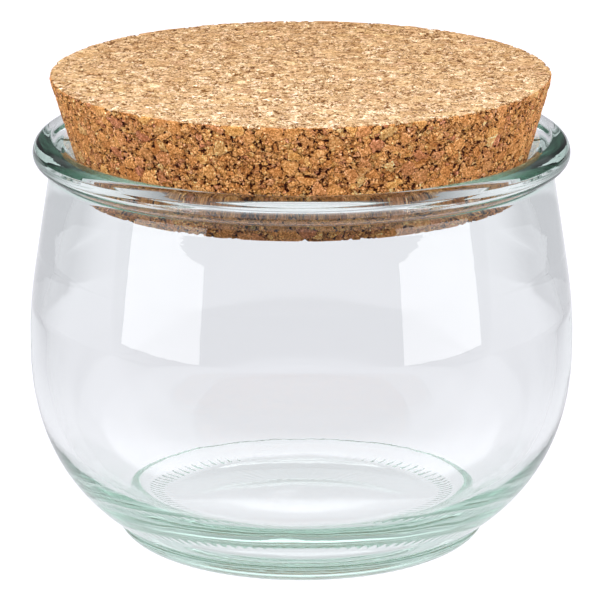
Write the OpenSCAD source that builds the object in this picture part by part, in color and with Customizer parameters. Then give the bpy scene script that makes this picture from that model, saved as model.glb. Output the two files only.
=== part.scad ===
// Round-bellied glass preserving jar with a tapered stopper of pressed cork.
// Millimetres, +Z up, the jar's axis on Z, its foot standing on z = 0.

/* [Jar body] */
// height of the glass over the rim
jar_h = 84; // [82:1:90]
// widest diameter of the belly
belly_d = 110; // [108:1:114]
// height of the widest place
belly_z = 40.2; // [38:0.2:43]
// outer diameter of the neck just under the rim
neck_d = 101.2; // [100:0.2:102]
// outer diameter where the belly meets the foot
foot_d = 74.4; // [72:0.2:77]
// wall of the belly
wall = 3.2; // [2.8:0.1:3.6]
// wall of the neck a little under the mouth
neck_wall = 4.3; // [3.8:0.1:4.6]

/* [Rim] */
// outer diameter of the rolled rim
rim_d = 108; // [107:0.2:110]
// height of the rolled rim
rim_h = 5.2; // [4.8:0.1:6]
// height of the rim's upper rounding
round_h = 3.1; // [2.8:0.1:3.3]
// diameter of the crest, the highest line of the rim
crest_d = 101.4; // [101:0.2:103]
// how far the parting line stands out of the rim
seam_h = 0.02; // [0.01:0.01:0.2]

/* [Mouth] */
// width of the land that slopes from the crest into the mouth
land_w = 3.5; // [3:0.1:3.7]
// fall of the sloping land
land_drop = 1.5; // [1.2:0.1:1.8]
// height of the seat below the land
seat_len = 3.2; // [2.8:0.1:3.4]
// depth of the groove under the seat
groove = 1.6; // [1:0.1:1.8]
// gap between the cork and the lip under the groove
lip_gap = 0.73; // [0.4:0.01:1]

/* [Base] */
// height of the middle of the inner floor
floor_z = 8; // [7:0.1:9]
// rise of the base at its middle
push_up = 0.6; // [0.4:0.1:1.2]
// inner diameter of the flat ring the jar stands on
stand_in_d = 53.2; // [50:0.2:53.6]
// outer diameter of the flat ring the jar stands on
stand_out_d = 56; // [55:0.5:56.5]
// number of grip ribs around the foot
rib_n = 90; // [60:1:96]
// width of a grip rib
rib_w = 0.8; // [0.6:0.1:1]

/* [Cork lid] */
// diameter of the cork's top
cork_top_d = 100.8; // [100:0.2:102]
// diameter of the cork's bottom
cork_bottom_d = 87; // [86:0.2:88]
// height of the cork
cork_h = 23.6; // [22:0.2:26]
// how deep the cork's bottom is below the crest of the rim
cork_in = 10.8; // [10:0.1:11.4]
// worn edges of the cork
cork_edge = 0.5; // [0.3:0.1:0.8]
// gap between the cork and its seat in the mouth
seat_gap = 0.08; // [0.05:0.01:0.15]

/* [Hidden] */
$fn = 144;

glass_col = [0.72, 0.86, 0.82, 0.45];
cork_col = [0.78, 0.57, 0.35];

rim_r = rim_d / 2;
crest_r = crest_d / 2;
neck_r = neck_d / 2;
belly_r = belly_d / 2;
foot_r = foot_d / 2;
rim_z = jar_h - rim_h;          // underside of the rolled rim
cork_z = jar_h - cork_in;       // bottom of the seated cork
taper = (cork_top_d - cork_bottom_d) / 2 / cork_h;

// radius of the cork's cone at height z
function cork_r(z) = cork_bottom_d / 2 + (z - cork_z) * taper;

// cubic curve p at t, and the same curve moved inwards by the wall w
function at(p, t) = let (s = 1 - t) s*s*s*p[0] + 3*s*s*t*p[1] + 3*s*t*t*p[2] + t*t*t*p[3];
function way(p, t) = let (s = 1 - t, d = s*s*(p[1] - p[0]) + 2*s*t*(p[2] - p[1]) + t*t*(p[3] - p[2])) d / norm(d);
function inward(p, t, w) = let (d = way(p, t)) at(p, t) + w * [-d[1], d[0]];

// points of a cubic curve, without its first one
function curve(p, n) = [for (i = [1:n]) at(p, i / n)];

// points of an elliptic arc around c, from angle f to angle g
function arc(c, rx, rz, f, g, n) = [for (i = [0:n]) let (w = f + (g - f) * i / n)
    [c[0] + rx * cos(w), c[1] + rz * sin(w)]];

// foot: a wide roll from the flat ring up to the crease under the belly
roll_rx = foot_r - stand_out_d / 2 + 0.3;
roll_rz = 4.4;
foot = arc([foot_r + 0.3 - roll_rx, roll_rz], roll_rx, roll_rz, -90, -6, 16);

// belly: from the foot to the widest place and up to the neck
low = [[foot_r, roll_rz + 0.1], [foot_r + 2.75, roll_rz + 2.4],
    [belly_r, belly_z - 24.9], [belly_r, belly_z]];
up = [[belly_r, belly_z], [belly_r, belly_z + 10.4],
    [neck_r + 4.15, belly_z + 11], [neck_r + 0.38, rim_z - 3.8]];

// rolled rim: a fillet that flares out of the neck, the lower rounding, and the
// upper rounding, which carries the parting line and ends in the crest
rim_fillet = curve([[neck_r + 0.38, rim_z - 3.8], [neck_r, rim_z - 1.4],
    [neck_r + 0.1, rim_z], [rim_r - 2.3, rim_z]], 9);
low_h = rim_h - round_h - 0.12;
rim_low = arc([rim_r - 2.3, rim_z + low_h], 2.3, low_h, -90, 0, 9);
seam_z = jar_h - 1.7;
function round_r(z) = crest_r + (rim_r - crest_r) * sqrt(1 - pow((z - jar_h + round_h) / round_h, 2));
seam = [for (q = [[-0.34, 0], [-0.18, 0.5], [-0.06, 1], [0.06, 1], [0.18, 0.5], [0.34, 0]])
    [round_r(seam_z + q[0]) + seam_h * q[1], seam_z + q[0]]];
rounding = arc([crest_r, jar_h - round_h], rim_r - crest_r, round_h, 0, 90, 16);
rim_up = concat([for (q = rounding) if (q[1] < seam_z - 0.38) q], seam,
    [for (q = rounding) if (q[1] > seam_z + 0.38) q]);

// a polyline with its corners cut off, its ends kept
function cut_corners(q) = concat([q[0]],
    [for (i = [0:len(q) - 2]) each [0.75 * q[i] + 0.25 * q[i + 1], 0.25 * q[i] + 0.75 * q[i + 1]]],
    [q[len(q) - 1]]);

// mouth: down the sloping land from the crest, along the seat that follows the
// cork's cone, round the groove and the lip under it, and out into the neck
land_z = jar_h - land_drop;
seat_z = land_z - seat_len;
neck_in = inward(up, 0.72, neck_wall);
neck_way = way(up, 0.72);
mouth_corners = [[crest_r, jar_h], [crest_r - 0.7, jar_h],
    [max(crest_r - land_w, cork_r(land_z) + 0.3), land_z],
    [cork_r(seat_z) + seat_gap, seat_z],
    [cork_r(seat_z - 0.3) + seat_gap, seat_z - 0.3],
    [cork_r(seat_z) + groove, seat_z - 0.8],
    [cork_r(seat_z - 2.95) + lip_gap, seat_z - 2.95],
    neck_in + 0.65 * neck_way, neck_in];
mouth_line = cut_corners(cut_corners(mouth_corners));
mouth = [for (i = [1:len(mouth_line) - 1]) mouth_line[i]];

// inside: one wall from the outline down the belly, then the bowl and the floor
bowl_t = 0.765;
bowl = inward(low, bowl_t, wall);
inside = concat(
    [for (i = [1:16]) inward(up, 0.72 * (1 - i / 16), neck_wall + (wall - neck_wall) * min(1, i / 8))],
    [for (i = [1:10]) inward(low, 1 - (1 - bowl_t) * i / 10, wall)],
    curve([bowl, bowl - 11.9 * way(low, bowl_t), [foot_r - 0.3, floor_z], [foot_r - 19.4, floor_z]], 26),
    [[0, floor_z]]);

// underside: raised middle that falls softly to the flat ring
edge = stand_in_d / 2;
underside = concat([[0, push_up]],
    curve([[0, push_up], [edge * 0.5, push_up], [edge * 0.8, 0], [edge, 0]], 16));

// one closed outline of the glass: from the middle of the base outwards, up the
// outside, over the rim and down the inside to the middle of the floor
outline = concat(underside, foot, [low[0]], curve(low, 26), curve(up, 22), rim_fillet,
    [for (i = [1:len(rim_low) - 1]) rim_low[i]], rim_up, mouth, inside);

// jar of clear glass, with its rolled rim, raised base and grip ribs
module glass_jar() {
    color(glass_col) {
        rotate_extrude() polygon(outline);
        // grip ribs under the foot, on the roll a little outside the flat ring
        for (i = [0:rib_n - 1])
            rotate([0, 0, i * 360 / rib_n])
                translate([stand_out_d / 2 + 2.3, -rib_w / 2, 0.03])
                    cube([3.1, rib_w, 0.9]);
    }
}

// tapered stopper of pressed cork
module cork_lid() {
    color(cork_col)
        translate([0, 0, cork_z])
            rotate_extrude()
                polygon([[0, 0], [cork_bottom_d / 2 - cork_edge, 0],
                    [cork_bottom_d / 2 + cork_edge * taper, cork_edge],
                    [cork_top_d / 2 - cork_edge * taper, cork_h - cork_edge],
                    [cork_top_d / 2 - cork_edge, cork_h], [0, cork_h]]);
}

glass_jar();
cork_lid();
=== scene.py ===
import bpy
import math
import numpy as np
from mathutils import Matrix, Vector, noise


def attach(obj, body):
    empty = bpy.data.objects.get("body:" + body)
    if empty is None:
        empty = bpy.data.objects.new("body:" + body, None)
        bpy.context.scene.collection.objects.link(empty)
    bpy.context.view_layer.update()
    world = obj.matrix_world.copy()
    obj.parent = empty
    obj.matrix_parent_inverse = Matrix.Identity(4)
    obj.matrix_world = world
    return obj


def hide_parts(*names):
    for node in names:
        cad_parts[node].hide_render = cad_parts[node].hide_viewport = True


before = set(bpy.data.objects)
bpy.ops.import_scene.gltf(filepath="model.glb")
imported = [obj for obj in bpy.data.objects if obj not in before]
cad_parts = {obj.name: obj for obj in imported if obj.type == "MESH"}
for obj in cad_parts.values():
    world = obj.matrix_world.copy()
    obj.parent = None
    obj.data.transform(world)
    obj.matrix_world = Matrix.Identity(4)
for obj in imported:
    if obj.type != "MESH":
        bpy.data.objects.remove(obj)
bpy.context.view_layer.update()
MM = 0.001


# ---------------------------------------------------------------- helpers

def lin(r, g, b):
    """An sRGB colour in 0..255 as a linear one with alpha."""
    def f(v):
        v /= 255.0
        return v / 12.92 if v <= 0.04045 else ((v + 0.055) / 1.055) ** 2.4
    return (f(r), f(g), f(b), 1.0)


class Tree:
    """Short calls for building a node tree, shader or geometry."""

    def __init__(self, nt):
        self.nt = nt

    def node(self, kind, **props):
        n = self.nt.nodes.new(kind)
        for k, v in props.items():
            setattr(n, k, v)
        return n

    def put(self, socket, value):
        if isinstance(value, bpy.types.NodeSocket):
            self.nt.links.new(value, socket)
        else:
            socket.default_value = value

    def math(self, op, a, b=0.0, c=0.0, clamp=False):
        n = self.node("ShaderNodeMath", operation=op, use_clamp=clamp)
        for s, v in zip(n.inputs, (a, b, c)):
            self.put(s, v)
        return n.outputs[0]

    def vec(self, op, a, b=(0, 0, 0), out=0, scale=None):
        n = self.node("ShaderNodeVectorMath", operation=op)
        self.put(n.inputs[0], a)
        if op != "SCALE":
            self.put(n.inputs[1], b)
        if scale is not None:
            self.put(n.inputs["Scale"], scale)
        return n.outputs[out]

    def dot(self, a, b):
        return self.vec("DOT_PRODUCT", a, b, out=1)

    def noise(self, p, scale, detail=2.0, rough=0.5, colour=False, distortion=0.0):
        n = self.node("ShaderNodeTexNoise")
        self.put(n.inputs["Vector"], p)
        n.inputs["Scale"].default_value = scale
        n.inputs["Detail"].default_value = detail
        n.inputs["Roughness"].default_value = rough
        n.inputs["Distortion"].default_value = distortion
        return n.outputs["Color" if colour else 0]

    def voronoi(self, p, scale, feature="F1"):
        n = self.node("ShaderNodeTexVoronoi", feature=feature)
        self.put(n.inputs["Vector"], p)
        n.inputs["Scale"].default_value = scale
        n.inputs["Randomness"].default_value = 1.0
        return n

    def step(self, x, lo, hi, a=0.0, b=1.0):
        """Smooth step of x from lo to hi, giving a to b."""
        n = self.node("ShaderNodeMapRange", interpolation_type="SMOOTHSTEP")
        for s, v in zip(n.inputs, (x, lo, hi, a, b)):
            self.put(s, v)
        return n.outputs[0]

    def ramp(self, x, stops):
        n = self.node("ShaderNodeValToRGB")
        self.put(n.inputs[0], x)
        el = n.color_ramp.elements
        while len(el) < len(stops):
            el.new(0.5)
        for e, (pos, col) in zip(el, stops):
            e.position = pos
            e.color = col
        return n.outputs[0]

    def mix(self, f, a, b, blend="MIX"):
        n = self.node("ShaderNodeMix", data_type="RGBA", blend_type=blend)
        self.put(n.inputs[0], f)
        self.put(n.inputs[6], a)
        self.put(n.inputs[7], b)
        return n.outputs[2]


def new_object(name, verts, faces, smooth=True):
    me = bpy.data.meshes.new(name)
    me.from_pydata([tuple(v) for v in verts], [], faces)
    me.update()
    me.polygons.foreach_set("use_smooth", [smooth] * len(me.polygons))
    ob = bpy.data.objects.new(name, me)
    bpy.context.scene.collection.objects.link(ob)
    return ob


def set_vectors(me, name, values, kind="FLOAT_VECTOR"):
    at = me.attributes.get(name) or me.attributes.new(name, kind, "POINT")
    at.data.foreach_set("vector" if kind == "FLOAT_VECTOR" else "value",
                        np.asarray(values, np.float32).ravel())


# ---------------------------------------------------------------- camera

cam_data = bpy.data.cameras.new("camera")
cam = bpy.data.objects.new("camera", cam_data)
bpy.context.scene.collection.objects.link(cam)
cam.location = (-0.0003, -0.900, 0.30478)
cam.rotation_euler = (math.radians(74.147), 0, 0)
cam_data.sensor_width = 36.0
cam_data.lens = 276.76
cam_data.clip_start = 0.05
cam_data.clip_end = 50.0
bpy.context.scene.camera = cam

# light goes round inside the thick glass many times before it leaves it
cyc = bpy.context.scene.cycles
cyc.max_bounces, cyc.glossy_bounces, cyc.transmission_bounces = 40, 32, 36


# ---------------------------------------------------------------- glass jar
# The outline is the jar's own, in millimetres, from the middle of the base
# outwards, up the outside, over the rim and down the inside.

JAR_H, NECK_R, BELLY_R, BELLY_Z, FOOT_R = 84.0, 50.6, 55.0, 40.2, 37.2
WALL, NECK_WALL, RIM_R, RIM_H, CREST_R = 3.2, 4.3, 54.0, 5.2, 50.7
ROUND_H, SEAM_H, LAND_W, LAND_DROP, SEAT_LEN, GROOVE, LIP_GAP = 3.1, 0.02, 3.5, 1.5, 3.2, 1.6, 0.73
FLOOR_Z, PUSH_UP, STAND_IN, STAND_OUT = 8.0, 0.6, 26.6, 28.0
CORK_TOP, CORK_BOT, CORK_H, CORK_IN = 50.4, 43.5, 23.6, 10.8
RIM_Z = JAR_H - RIM_H
CORK_Z = JAR_H - CORK_IN
TAPER = (CORK_TOP - CORK_BOT) / CORK_H


def cork_r(z):
    return CORK_BOT + (z - CORK_Z) * TAPER


def at(p, t):
    p = np.asarray(p, float)
    t = np.asarray(t, float)[..., None]
    s = 1 - t
    return s**3 * p[0] + 3 * s * s * t * p[1] + 3 * s * t * t * p[2] + t**3 * p[3]


def way(p, t):
    p = np.asarray(p, float)
    t = np.asarray(t, float)[..., None]
    s = 1 - t
    d = s * s * (p[1] - p[0]) + 2 * s * t * (p[2] - p[1]) + t * t * (p[3] - p[2])
    return d / np.linalg.norm(d, axis=-1, keepdims=True)


def inward(p, t, w):
    d = way(p, t)
    return at(p, t) + w * np.stack([-d[..., 1], d[..., 0]], -1)


def curve(p, n):
    return at(p, np.linspace(0, 1, n + 1)[1:])


def arc(c, rx, rz, f, g, n):
    w = np.radians(np.linspace(f, g, n + 1))
    return np.stack([c[0] + rx * np.cos(w), c[1] + rz * np.sin(w)], -1)


roll_rx, roll_rz = FOOT_R - STAND_OUT + 0.3, 4.4
foot = arc((FOOT_R + 0.3 - roll_rx, roll_rz), roll_rx, roll_rz, -90, -6, 30)
low = [(FOOT_R, roll_rz + 0.1), (FOOT_R + 2.75, roll_rz + 2.4), (BELLY_R, BELLY_Z - 24.9), (BELLY_R, BELLY_Z)]
up = [(BELLY_R, BELLY_Z), (BELLY_R, BELLY_Z + 10.4), (NECK_R + 4.15, BELLY_Z + 11), (NECK_R + 0.38, RIM_Z - 3.8)]
rim_fillet = curve([(NECK_R + 0.38, RIM_Z - 3.8), (NECK_R, RIM_Z - 1.4), (NECK_R + 0.1, RIM_Z), (RIM_R - 2.3, RIM_Z)], 12)
low_h = RIM_H - ROUND_H - 0.12
rim_low = arc((RIM_R - 2.3, RIM_Z + low_h), 2.3, low_h, -90, 0, 12)


def round_r(z):
    """Radius of the rim's upper rounding at height z."""
    return CREST_R + (RIM_R - CREST_R) * math.sqrt(max(0.0, 1 - ((z - JAR_H + ROUND_H) / ROUND_H) ** 2))


rim_up = arc((CREST_R, JAR_H - ROUND_H), RIM_R - CREST_R, ROUND_H, 0, 90, 18)
seam_z = JAR_H - 1.7
seam = np.array([(round_r(seam_z + dz) + out * SEAM_H, seam_z + dz) for dz, out in
                 ((-0.34, 0), (-0.18, 0.5), (-0.06, 1), (0.06, 1), (0.18, 0.5), (0.34, 0))])
rim_up = np.vstack([rim_up[rim_up[:, 1] < seam_z - 0.38], seam, rim_up[rim_up[:, 1] > seam_z + 0.38]])


def cut_corners(q, times):
    """A polyline with its corners rounded off, its ends kept."""
    for _ in range(times):
        a, b = q[:-1], q[1:]
        m = np.empty((2 * len(a), 2))
        m[0::2], m[1::2] = 0.75 * a + 0.25 * b, 0.25 * a + 0.75 * b
        q = np.vstack([q[:1], m, q[-1:]])
    return q


# sloping land, seat along the cork's cone, groove under it, lip, and out to the neck
seat_z = JAR_H - LAND_DROP - SEAT_LEN
neck_in, neck_way = inward(up, 0.72, NECK_WALL), way(up, 0.72)
mouth = cut_corners(np.array([
    (CREST_R, JAR_H), (CREST_R - 0.7, JAR_H), (CREST_R - LAND_W, JAR_H - LAND_DROP),
    (cork_r(seat_z) + 0.08, seat_z), (cork_r(seat_z - 0.3) + 0.08, seat_z - 0.3),
    (cork_r(seat_z) + GROOVE, seat_z - 0.8), (cork_r(seat_z - 2.95) + LIP_GAP, seat_z - 2.95), tuple(neck_in + 0.65 * neck_way), tuple(neck_in)]), 2)[1:]
bowl_t = 0.765
bowl = inward(low, bowl_t, WALL)
inside = np.vstack([
    [inward(up, 0.72 * (1 - i / 16), NECK_WALL + (WALL - NECK_WALL) * min(1, i / 8)) for i in range(1, 17)],
    inward(low, 1 - (1 - bowl_t) * np.arange(1, 11) / 10, WALL),
    curve([bowl, bowl - 11.9 * way(low, bowl_t), (FOOT_R - 0.3, FLOOR_Z), (FOOT_R - 19.4, FLOOR_Z)], 34)])
floor_in = np.stack([np.linspace(FOOT_R - 19.4, 0, 8)[1:], np.full(7, FLOOR_Z)], -1)
under = np.vstack([
    curve([(0, PUSH_UP), (STAND_IN * 0.5, PUSH_UP), (STAND_IN * 0.8, 0), (STAND_IN, 0)], 22),
    [(STAND_IN + 0.7, 0)]])
outline = np.vstack([[(0, PUSH_UP)], under, foot, [low[0]], curve(low, 34), curve(up, 28), rim_fillet,
                     rim_low[1:], rim_up, mouth, inside, floor_in])

SEG = 360          # round the jar
RIB = 720          # round the ribbed ring under the foot
RIB_IN, RIB_OUT = 30.1, 33.6


def ribbed(r, z):
    return RIB_IN < r < RIB_OUT and z < 2.0


def jar_mesh():
    verts, rings = [], []
    for i, (r, z) in enumerate(outline):
        if r < 1e-6:
            rings.append([len(verts)])
            verts.append((0.0, 0.0, z))
            continue
        n = RIB if ribbed(r, z) else SEG
        a = np.arange(n) * (2 * math.pi / n)
        rr, zz = np.full(n, r), np.full(n, z)
        if n == RIB:
            # each rib is a soft ridge that fades out at both of its ends, and the
            # ribs at the front and the back are worn down
            tooth = np.clip(np.cos(a * 90) * 1.4 + 0.1, 0, 1) * (0.08 + 0.92 * np.cos(a) ** 2)
            fade = min(1.0, (r - RIB_IN) / 0.5) * min(1.0, (RIB_OUT - r) / 0.6)
            drop = np.minimum(0.42 * tooth * fade, z - 0.03)
            zz = zz - np.maximum(drop, 0)
            rr = rr + 0.35 * np.maximum(drop, 0)
        rings.append(list(range(len(verts), len(verts) + n)))
        verts.extend(zip(rr * np.cos(a), rr * np.sin(a), zz))
    faces = []
    for a, b in zip(rings, rings[1:]):
        if len(a) == 1 or len(b) == 1:
            tip, ring = (a[0], b) if len(a) == 1 else (b[0], a)
            n = len(ring)
            for k in range(n):
                f = (tip, ring[(k + 1) % n], ring[k])
                faces.append(f if len(a) == 1 else f[::-1])
        elif len(a) == len(b):
            n = len(a)
            faces.extend((a[k], a[(k + 1) % n], b[(k + 1) % n], b[k]) for k in range(n))
        elif len(b) == 2 * len(a):
            n, m = len(a), len(b)
            for k in range(n):
                k1, j = (k + 1) % n, 2 * k
                faces += [(a[k], b[j + 1], b[j]), (a[k], a[k1], b[j + 1]), (a[k1], b[(j + 2) % m], b[j + 1])]
        else:
            n, m = len(b), len(a)
            for k in range(n):
                k1, j = (k + 1) % n, 2 * k
                faces += [(b[k], a[j], a[j + 1]), (b[k], a[j + 1], b[k1]), (b[k1], a[j + 1], a[(j + 2) % m])]
    return np.array(verts), faces


gv, gf = jar_mesh()

# faint waves of pressed and blown glass, along the surface normal, fading out
# at the seat, the standing ring and the crease
tmp = new_object("tmp_jar", gv * MM, gf)
nrm = np.zeros(len(gv) * 3, np.float32)
tmp.data.vertices.foreach_get("normal", nrm)
nrm = nrm.reshape(-1, 3)
bpy.data.objects.remove(tmp)
rad = np.hypot(gv[:, 0], gv[:, 1])
outer = (gv * nrm)[:, :2].sum(1) > 0
z = gv[:, 2]
keep = np.clip((z - 6.0) / 6.0, 0, 1) * np.clip((80.5 - z) / 3.0, 0, 1)
wave = np.zeros(len(gv))
for i in np.nonzero(keep > 0)[0]:
    p = Vector(gv[i])
    if outer[i]:
        wave[i] = (0.0085 * noise.noise(p * 0.11) + 0.0035 * noise.noise(p * 0.33 + Vector((7, 3, 1)))
                   + 0.016 * noise.noise(Vector((p.x * 0.05, p.y * 0.05, p.z * 0.12 + 9))))
    else:
        wave[i] = (0.020 * noise.noise(Vector((p.x * 0.07 + 5, p.y * 0.07, p.z * 0.05)))
                   + 0.007 * noise.noise(p * 0.16 + Vector((3, 9, 4)))
                   + 0.045 * noise.noise(p * 0.13 + Vector((11, 2, 6))) * min(1.0, max(0.0, (30.0 - z[i]) / 12.0)))
gv = gv + nrm * (wave * keep)[:, None]

jar = new_object("glass_body", gv * MM, gf)

glass = bpy.data.materials.new("clear_green_glass")
glass.use_nodes = True
t = Tree(glass.node_tree)
t.nt.nodes.clear()
pb = t.node("ShaderNodeBsdfPrincipled")
pb.inputs["Base Color"].default_value = (1, 1, 1, 1)
pb.inputs["Roughness"].default_value = 0.0
pb.inputs["IOR"].default_value = 1.5
pb.inputs["Transmission Weight"].default_value = 1.0
geo = t.node("ShaderNodeTexCoord")
fine = t.noise(geo.outputs["Object"], 260.0, 3.0, 0.55)
bump = t.node("ShaderNodeBump")
bump.inputs["Strength"].default_value = 0.35
bump.inputs["Distance"].default_value = 0.00002
t.put(bump.inputs["Height"], fine)
t.put(pb.inputs["Normal"], bump.outputs[0])
absorb = t.node("ShaderNodeVolumeAbsorption")
absorb.inputs["Color"].default_value = (0.55, 0.75, 0.66, 1)
absorb.inputs["Density"].default_value = 15.5
out = t.node("ShaderNodeOutputMaterial")
t.put(out.inputs["Surface"], pb.outputs[0])
t.put(out.inputs["Volume"], absorb.outputs[0])
jar.data.materials.append(glass)
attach(jar, "jar")
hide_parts("glass_jar")


# ---------------------------------------------------------------- cork lid

def granules(t, p):
    """Pressed cork in 3-D: p is in millimetres. Gives the gap between granules, the soft
    line round them, the relief in millimetres, a random vector for each granule, whether
    it is a small one, the distance to its edge, and the height of its own tilted face."""
    flat = t.vec("MULTIPLY", p, (1.0, 1.0, 1.2))
    warp = t.vec("SUBTRACT", t.noise(flat, 0.5, 3.0, 0.62, colour=True), (0.5, 0.5, 0.5))
    q = t.vec("ADD", flat, t.vec("SCALE", warp, scale=2.0))
    sb, ss = 0.36, 0.92
    big, bige = t.voronoi(q, sb), t.voronoi(q, sb, "DISTANCE_TO_EDGE")
    sml, smle = t.voronoi(q, ss), t.voronoi(q, ss, "DISTANCE_TO_EDGE")
    split = t.math("GREATER_THAN", t.dot(big.outputs["Color"], (1, 0, 0)), 0.45)
    eb = t.math("DIVIDE", bige.outputs["Distance"], sb)
    es = t.math("MINIMUM", eb, t.math("DIVIDE", smle.outputs["Distance"], ss))
    edge = t.math("ADD", t.math("MULTIPLY", eb, t.math("SUBTRACT", 1.0, split)), t.math("MULTIPLY", es, split))
    cell = t.vec("ADD", t.vec("SCALE", big.outputs["Color"], scale=t.math("SUBTRACT", 1.0, split)),
                 t.vec("SCALE", sml.outputs["Color"], scale=split))
    off = t.vec("ADD", t.vec("SCALE", t.vec("SUBTRACT", q, big.outputs["Position"]), scale=t.math("SUBTRACT", 1.0, split)),
                t.vec("SCALE", t.vec("SUBTRACT", q, sml.outputs["Position"]), scale=split))
    facet = t.dot(t.vec("SUBTRACT", cell, (0.5, 0.5, 0.5)), off)
    # the granules meet in most places, and gape in a few
    gape = t.noise(p, 1.1, 3.0, 0.65)
    width = t.step(gape, 0.53, 0.66, 0.02, 0.40)
    gap = t.math("SUBTRACT", 1.0, t.step(t.math("DIVIDE", edge, width), 0.4, 1.0))
    line = t.math("MULTIPLY", t.math("SUBTRACT", 1.0, t.step(edge, 0.0, 0.15)), t.step(gape, 0.40, 0.60))
    lift = t.math("MULTIPLY_ADD", t.dot(cell, (0, 1, 0)), 0.2, -0.16)
    high = t.math("SUBTRACT", t.math("SUBTRACT", lift, t.math("MULTIPLY", gap, 0.4)), t.math("MULTIPLY", line, 0.06))
    return gap, line, high, cell, split, edge, facet


def cork_base():
    """A plain tapered disc with even, small faces and rounded edges."""
    side_n = 62
    e = 0.45
    prof = []
    for r in np.linspace(0, CORK_BOT - e, 26)[1:]:
        prof.append((r, CORK_Z))
    bot = arc((CORK_BOT - e, CORK_Z + e), e, e, -90, 0, 3)[1:]
    prof += [tuple(b) for b in bot]
    for z in np.linspace(CORK_Z + e, CORK_Z + CORK_H - e, side_n)[1:]:
        prof.append((cork_r(z), z))
    top = arc((cork_r(CORK_Z + CORK_H - e) - e, CORK_Z + CORK_H - e), e, e, 0, 90, 3)[1:]
    prof += [tuple(b) for b in top]
    last = prof[-1][0]
    prof += [(r, CORK_Z + CORK_H) for r in np.linspace(last, 0, 100)[1:-1]]
    verts, rings = [(0, 0, CORK_Z)], [[0]]
    for i, (r, z) in enumerate(prof):
        n = 840
        if z < CORK_Z + 1e-6 or z > CORK_Z + CORK_H - 1e-6:
            n = next((k for k in (105, 210, 420) if 2 * math.pi * r / k < (1.4 if z < CORK_Z + 1 else 0.66)), 840)
            if z < CORK_Z + 1e-6 and r > CORK_BOT - e - 0.01:
                n = 840
        a = (np.arange(n)) * (2 * math.pi / n)
        rings.append(list(range(len(verts), len(verts) + n)))
        verts.extend(zip(r * np.cos(a), r * np.sin(a), np.full(n, z)))
    rings.append([len(verts)])
    verts.append((0, 0, CORK_Z + CORK_H))
    faces = []
    for a, b in zip(rings, rings[1:]):
        if len(a) == 1:
            n = len(b)
            faces += [(a[0], b[(k + 1) % n], b[k]) for k in range(n)]
        elif len(b) == 1:
            n = len(a)
            faces += [(b[0], a[k], a[(k + 1) % n]) for k in range(n)]
        elif len(a) == len(b):
            n = len(a)
            faces += [(a[k], a[(k + 1) % n], b[(k + 1) % n], b[k]) for k in range(n)]
        elif len(b) > len(a):
            n, m = len(a), len(b)
            s = m // n
            for k in range(n):
                k1, j = (k + 1) % n, s * k
                h = s // 2
                for i in range(h):
                    faces.append((a[k], b[j + i + 1], b[j + i]))
                faces.append((a[k], a[k1], b[j + h]))
                for i in range(h, s):
                    faces.append((a[k1], b[(j + i + 1) % m], b[j + i]))
        else:
            n, m = len(b), len(a)
            s = m // n
            for k in range(n):
                k1, j = (k + 1) % n, s * k
                h = s // 2
                for i in range(h):
                    faces.append((b[k], a[j + i], a[j + i + 1]))
                faces.append((b[k], a[j + h], b[k1]))
                for i in range(h, s):
                    faces.append((b[k1], a[j + i], a[(j + i + 1) % m]))
    return np.array(verts), faces


cv, cf = cork_base()
cork = new_object("cork_stopper", cv * MM, cf)
set_vectors(cork.data, "rest", cv)

# read the granules' relief at each vertex with the same nodes the material has
gn = bpy.data.node_groups.new("read_granules", "GeometryNodeTree")
gn.interface.new_socket("Geometry", in_out="INPUT", socket_type="NodeSocketGeometry")
gn.interface.new_socket("Geometry", in_out="OUTPUT", socket_type="NodeSocketGeometry")
t = Tree(gn)
gin, gout = t.node("NodeGroupInput"), t.node("NodeGroupOutput")
named = t.node("GeometryNodeInputNamedAttribute", data_type="FLOAT_VECTOR")
named.inputs["Name"].default_value = "rest"
gap, line, high, cell, split, edge, facet = granules(t, named.outputs[0])
flow = gin.outputs[0]
for name, kind, value in (("g_high", "FLOAT", high), ("g_gap", "FLOAT", gap), ("g_cell", "FLOAT_VECTOR", cell), ("g_split", "FLOAT", split)):
    st = t.node("GeometryNodeStoreNamedAttribute", data_type=kind, domain="POINT")
    st.inputs["Name"].default_value = name
    t.put(st.inputs["Geometry"], flow)
    t.put(st.inputs["Value"], value)
    flow = st.outputs[0]
t.put(gout.inputs[0], flow)
mod = cork.modifiers.new("read", "NODES")
mod.node_group = gn
dg = bpy.context.evaluated_depsgraph_get()
em = cork.evaluated_get(dg).data
n = len(cv)


def read(name, width=1):
    a = np.zeros(n * width, np.float32)
    em.attributes[name].data.foreach_get("vector" if width == 3 else "value", a)
    return a.reshape(-1, width) if width > 1 else a


g_high, g_gap, g_cell, g_split = read("g_high"), read("g_gap"), read("g_cell", 3), read("g_split")
cork.modifiers.remove(mod)
nrm = np.zeros(n * 3, np.float32)
cork.data.vertices.foreach_get("normal", nrm)
nrm = nrm.reshape(-1, 3)
r = np.hypot(cv[:, 0], cv[:, 1])
z = cv[:, 2]
top_z = CORK_Z + CORK_H
on_top = (z > top_z - 1e-3)
# how near a point is to the top or bottom edge, 0 to 1
near_top = np.clip(1 - np.hypot(np.maximum(cork_r(z) - r, 0), top_z - z) / 1.5, 0, 1)
near_bot = np.clip(1 - np.hypot(np.maximum(cork_r(z) - r, 0), z - CORK_Z) / 1.2, 0, 1)
depth = g_high.copy()
depth[on_top] = g_high[on_top] * 0.55
depth[z < CORK_Z + 1e-3] *= 0.4
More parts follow.
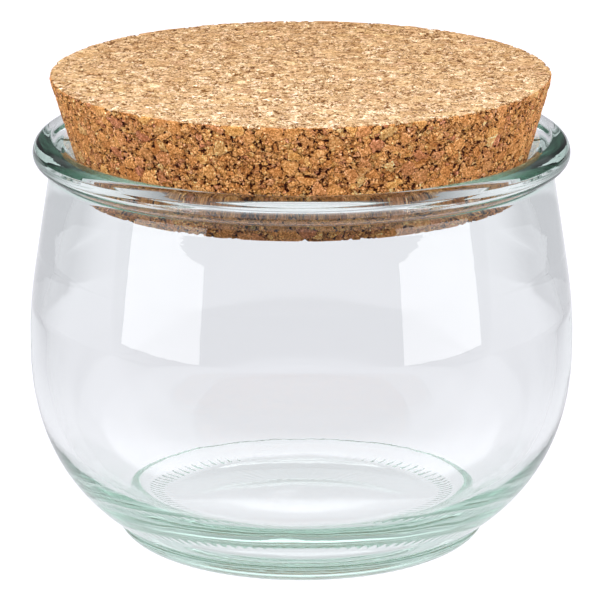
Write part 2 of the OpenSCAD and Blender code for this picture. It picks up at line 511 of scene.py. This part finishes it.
# granules broken out of the edges
lost = (g_cell[:, 0] > 0.72) & (g_split > 0.5)
depth -= near_top * np.where(lost, 0.75, 0.12) + near_bot * np.where(lost, 0.6, 0.1)
seated = np.clip((z - 79.0) / 1.0, 0, 1) * np.clip((84.2 - z) / 1.0, 0, 1)
depth = depth * (1 - 0.6 * seated)
depth = np.minimum(depth, 0.06 * (1 - seated))
move = nrm * depth[:, None]
cv2 = cv + move
# the top is cut a little out of level
share = np.clip((cv2[:, 2] - 84.5) / (top_z - 84.5), 0, 1)
cv2[:, 2] += share * (-cv[:, 1] * math.tan(math.radians(0.69)) + cv[:, 0] * math.tan(math.radians(0.12)))
# and stands a hair to the left
cv2[:, 0] += -0.2 * share
cork.data.vertices.foreach_set("co", (cv2 * MM).astype(np.float32).ravel())
set_vectors(cork.data, "top", np.where(on_top, 1.0, 0.0) , "FLOAT")
cork.data.update()

cm = bpy.data.materials.new("pressed_cork")
cm.use_nodes = True
t = Tree(cm.node_tree)
t.nt.nodes.clear()
rest = t.node("ShaderNodeAttribute", attribute_name="rest").outputs["Vector"]
top = t.node("ShaderNodeAttribute", attribute_name="top").outputs["Fac"]
gap, line, high, cell, split, edge, facet = granules(t, rest)
hue = t.dot(cell, (0, 0, 1))
side_col = t.ramp(hue, [
    (0.00, lin(186, 118, 58)), (0.15, lin(205, 137, 73)), (0.35, lin(218, 152, 84)), (0.50, lin(208, 138, 82)),
    (0.62, lin(226, 163, 88)), (0.75, lin(220, 154, 88)), (0.86, lin(202, 126, 82)), (0.95, lin(230, 170, 98)),
    (1.00, lin(238, 188, 118))])
body = t.mix(t.math("MULTIPLY", top, 0.66), side_col, lin(220, 184, 132))
# grain: streaks that lie another way in each granule, fine pores, and broad shades
turned = t.node("ShaderNodeVectorRotate", rotation_type="EULER_XYZ")
t.put(turned.inputs["Vector"], rest)
t.put(turned.inputs["Rotation"], t.vec("SCALE", cell, scale=6.2832))
streak = t.noise(t.vec("MULTIPLY", turned.outputs[0], (1.0, 3.0, 1.3)), 0.95, 5.0, 0.68)
pore = t.noise(rest, 2.7, 4.0, 0.75)
cloud = t.noise(rest, 0.3, 3.0, 0.55)
speck = t.noise(rest, 1.15, 4.0, 0.72)
side = t.math("SUBTRACT", 1.0, top)
shade = t.math("MULTIPLY", t.math("SUBTRACT", streak, 0.5), t.math("MULTIPLY_ADD", top, -0.5, 1.5))
shade = t.math("ADD", shade, t.math("MULTIPLY", t.math("SUBTRACT", pore, 0.5), t.math("MULTIPLY_ADD", top, -0.9, 3.8)))
shade = t.math("ADD", shade, t.math("MULTIPLY", t.math("SUBTRACT", cloud, 0.5), 0.5))
shade = t.math("ADD", shade, t.math("MULTIPLY", t.math("MULTIPLY", t.math("SUBTRACT", speck, 0.5), top), 1.6))
shade = t.math("SUBTRACT", shade, t.math("MULTIPLY", line, 0.24))
shade = t.math("SUBTRACT", shade, t.math("MULTIPLY", gap, t.math("MULTIPLY_ADD", top, -1.6, 2.6)))
shade = t.math("SUBTRACT", shade, t.math("MULTIPLY", t.step(speck, 0.60, 0.70), 0.35))
# painted highlights on the side, pale lines along the granule edges where they would catch the light, and granules of
# many shades cut flat on top
edge_painted_highlight = t.math("MULTIPLY", t.step(edge, 0.08, 0.16), t.step(edge, 0.20, 0.36, 1.0, 0.0))
edge_painted_highlight = t.math("MULTIPLY", edge_painted_highlight, t.step(t.noise(rest, 0.9, 2.0, 0.6), 0.46, 0.60))
shade = t.math("ADD", shade, t.math("MULTIPLY", t.math("MULTIPLY", edge_painted_highlight, side), 0.40))
shade = t.math("ADD", shade, t.math("MULTIPLY", t.math("MULTIPLY", t.math("SUBTRACT", t.dot(cell, (1, 0, 0)), 0.5), top), 0.44))
# small holes and pale flakes with crisp edges on top
hole = t.step(t.noise(rest, 0.85, 4.0, 0.62), 0.585, 0.625)
flake = t.step(t.noise(t.vec("ADD", rest, (31.0, 17.0, 5.0)), 0.42, 5.0, 0.62), 0.52, 0.56)
shade = t.math("ADD", shade, t.math("MULTIPLY", t.math("MULTIPLY_ADD", hole, -0.72, t.math("MULTIPLY", flake, 0.20)), top))
# painted light: the top is painted palest towards -Y, as if lit more from that side
top_painted_light_slope = t.math("MULTIPLY_ADD", t.dot(rest, (0, 1, 0)), -0.0030, 0.12)
shade = t.math("ADD", shade, t.math("MULTIPLY", top_painted_light_slope, top))
shade = t.math("ADD", shade, t.math("MULTIPLY", side, 0.10))
# a darker place is also a redder one
tone = t.node("ShaderNodeCombineXYZ")
for s, k in zip(tone.inputs, (1.0, 1.42, 2.1)):
    t.put(s, t.math("EXPONENT", t.math("MULTIPLY", shade, k)))
body = t.mix(1.0, body, tone.outputs[0], "MULTIPLY")
# the side is a little redder, and the part inside the mouth is painted paler and warmer, as painted light for the
# light that reaches it through the glass
body = t.mix(side, body, (1.04, 0.99, 0.93, 1), "MULTIPLY")
inside_mouth_painted_light = t.math("MULTIPLY", t.step(t.dot(rest, (0, 0, 1)), 76.0, 81.0, 1.0, 0.0), side)
body = t.mix(inside_mouth_painted_light, body, (1.10, 1.06, 0.96, 1), "MULTIPLY")
cb = t.node("ShaderNodeBsdfPrincipled")
t.put(cb.inputs["Base Color"], body)
cb.inputs["Roughness"].default_value = 0.85
cb.inputs["Specular IOR Level"].default_value = 0.25
bh = t.math("ADD", t.math("MULTIPLY", high, 1.0), t.math("MULTIPLY", pore, 0.3))
bh = t.math("ADD", bh, t.math("MULTIPLY", facet, t.math("MULTIPLY_ADD", top, -0.45, 0.8)))
bump = t.node("ShaderNodeBump")
bump.inputs["Strength"].default_value = 0.8
bump.inputs["Distance"].default_value = 0.001
t.put(bump.inputs["Height"], bh)
t.put(cb.inputs["Normal"], bump.outputs[0])
out = t.node("ShaderNodeOutputMaterial")
t.put(out.inputs["Surface"], cb.outputs[0])
cork.data.materials.append(cm)
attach(cork, "lid")
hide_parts("cork_lid")


# ---------------------------------------------------------------- stage

fl = new_object("floor", [(-6, -6, -0.0002), (6, -6, -0.0002), (6, 6, -0.0002), (-6, 6, -0.0002)], [(0, 1, 2, 3)], False)
fm = bpy.data.materials.new("pale_table")
fm.use_nodes = True
t = Tree(fm.node_tree)
t.nt.nodes.clear()
pos = t.node("ShaderNodeNewGeometry").outputs["Position"]
path = t.node("ShaderNodeLightPath")
lp = path.outputs["Is Camera Ray"]
mirrored = t.math("MULTIPLY", path.outputs["Is Glossy Ray"], t.math("SUBTRACT", 1.0, path.outputs["Is Transmission Ray"]))
bounced = t.math("ADD", path.outputs["Glossy Depth"], path.outputs["Diffuse Depth"])
through = t.math("MULTIPLY", path.outputs["Is Transmission Ray"], t.step(bounced, 0.2, 0.8, 1.0, 0.0))
far = t.vec("LENGTH", pos, out=1)
# the sheet is brightest round the jar, and falls off towards the camera
front = t.dot(pos, (0, -1, 0))
ahead = t.math("MULTIPLY", t.step(front, 0.10, 0.155), t.math("SUBTRACT", 1.0, through))
strip = t.math("MULTIPLY", t.step(front, 0.045, 0.06), t.step(front, 0.105, 0.135, 0.12, 0.0))
near = t.math("ADD", t.step(far, 0.01, 0.16, 0.09, 0.0), strip)
aside = t.step(t.math("ABSOLUTE", t.dot(pos, (1, 0, 0))), 0.08, 0.20)
glow = t.math("ADD", t.math("MULTIPLY_ADD", ahead, -0.70, 0.80), near)
glow = t.math("MULTIPLY", glow, t.math("MULTIPLY_ADD", aside, -0.33, 1.0))
glow = t.math("MULTIPLY", glow, t.math("MULTIPLY_ADD", t.math("MULTIPLY", mirrored, t.step(front, 0.06, 0.10)), -0.75, 1.0))
emis = t.node("ShaderNodeEmission")
emis.inputs["Color"].default_value = (0.986, 0.979, 1.036, 1)
t.put(emis.inputs["Strength"], t.math("MAXIMUM", glow, t.math("MULTIPLY", lp, 1.1)))
dif = t.node("ShaderNodeBsdfDiffuse")
dif.inputs["Color"].default_value = (0.08, 0.08, 0.082, 1)
add = t.node("ShaderNodeAddShader")
t.put(add.inputs[0], emis.outputs[0])
t.put(add.inputs[1], dif.outputs[0])
out = t.node("ShaderNodeOutputMaterial")
t.put(out.inputs["Surface"], add.outputs[0])
fl.data.materials.append(fm)

world = bpy.data.worlds.new("studio")
bpy.context.scene.world = world
world.use_nodes = True
t = Tree(world.node_tree)
t.nt.nodes.clear()
d = t.node("ShaderNodeTexCoord").outputs["Generated"]
path = t.node("ShaderNodeLightPath")
lp = path.outputs["Is Camera Ray"]
mirrored = t.math("MULTIPLY", path.outputs["Is Glossy Ray"], t.math("SUBTRACT", 1.0, path.outputs["Is Transmission Ray"]))
bounced = t.math("ADD", path.outputs["Glossy Depth"], path.outputs["Diffuse Depth"])
through = t.math("MULTIPLY", path.outputs["Is Transmission Ray"], t.step(bounced, 0.2, 0.8, 1.0, 0.0))
# a dim room in front, paler to the sides and the back, and bright diffusers above it
height = t.dot(d, (0, 0, 1))
back = t.step(t.dot(d, (0, 1, 0)), 0.5, 0.9)
above = t.step(t.math("MULTIPLY_ADD", back, -0.06, height), 0.27, 0.36)
low_room = t.math("MAXIMUM", t.step(t.dot(d, (0, 1, 0)), -0.75, 0.4, 0.18, 1.0), through)
low_room = t.math("MULTIPLY", low_room, t.math("MULTIPLY_ADD", back, -0.3, 1.0))
behind = t.math("MULTIPLY_ADD", back, 1.1, 1.15)
# a large diffuser high in front lights the cork, also through the glass
screen = t.math("MULTIPLY", t.step(height, 0.58, 0.68), t.step(height, 0.86, 0.95, 1.3, 0.0))
screen = t.math("MULTIPLY", screen, t.step(t.dot(d, (0, -1, 0)), 0.15, 0.40))
room = t.math("ADD", t.math("MULTIPLY", low_room, t.math("SUBTRACT", 1.0, above)),
              t.math("MULTIPLY", above, t.step(height, 0.6, 0.95, behind, 0.6)))
bg = t.node("ShaderNodeBackground")
room = t.math("ADD", room, screen)
# the outside of the rim mirrors a darker back of the room
veil = t.math("MULTIPLY", t.step(t.dot(d, (0, 1, 0)), 0.0, 0.5), t.step(height, 0.5, 0.7, 1.0, 0.0))
room = t.math("MULTIPLY", room, t.math("MULTIPLY_ADD", t.math("MULTIPLY", mirrored, veil), -0.8, 1.0))
bg.inputs["Color"].default_value = (0.986, 0.979, 1.036, 1)
t.put(bg.inputs["Strength"], t.math("MAXIMUM", room, t.math("MULTIPLY", lp, 1.0)))
out = t.node("ShaderNodeOutputWorld")
t.put(out.inputs["Surface"], bg.outputs[0])


def softbox(name, azimuth, elevation, distance, width, height, power, aim=0.05):
    """A rectangle of light that faces the jar. Azimuth 0 is the camera's side, positive to the right."""
    a, e = math.radians(azimuth), math.radians(elevation)
    way_out = Vector((math.sin(a) * math.cos(e), -math.cos(a) * math.cos(e), math.sin(e)))
    data = bpy.data.lights.new(name, "AREA")
    data.shape = "RECTANGLE"
    data.size, data.size_y = width, height
    data.energy = power
    ob = bpy.data.objects.new(name, data)
    bpy.context.scene.collection.objects.link(ob)
    ob.location = Vector((0, 0, aim)) + way_out * distance
    ob.rotation_mode = "QUATERNION"
    ob.rotation_quaternion = way_out.to_track_quat("Z", "Y")
    ob.visible_camera = False
    ob.visible_transmission = False
    return ob


# broad lights for the cork, which aren't mirrored in the glass
for lamp in (softbox("side_left", -60, 17, 1.7, 1.1, 1.0, 6), softbox("side_right", 58, 17, 1.7, 1.1, 1.0, 6),
             softbox("above", 0, 80, 1.7, 1.3, 1.3, 2.5), softbox("front", 0, 22, 1.7, 1.2, 0.8, 4.5)):
    lamp.visible_glossy = False
# two upright cards beside the jar, which make the pale windows on its belly
for lamp in (softbox("card_left", -56.2, 0, 0.284, 0.177, 0.052, 0.107, 0.050),
             softbox("card_right", 56.2, 0, 0.284, 0.177, 0.052, 0.107, 0.050)):
    lamp.visible_diffuse = False

view = bpy.context.scene.view_settings
view.view_transform = "Standard"
view.look = "None"
view.exposure = 0.0
view.gamma = 1.0
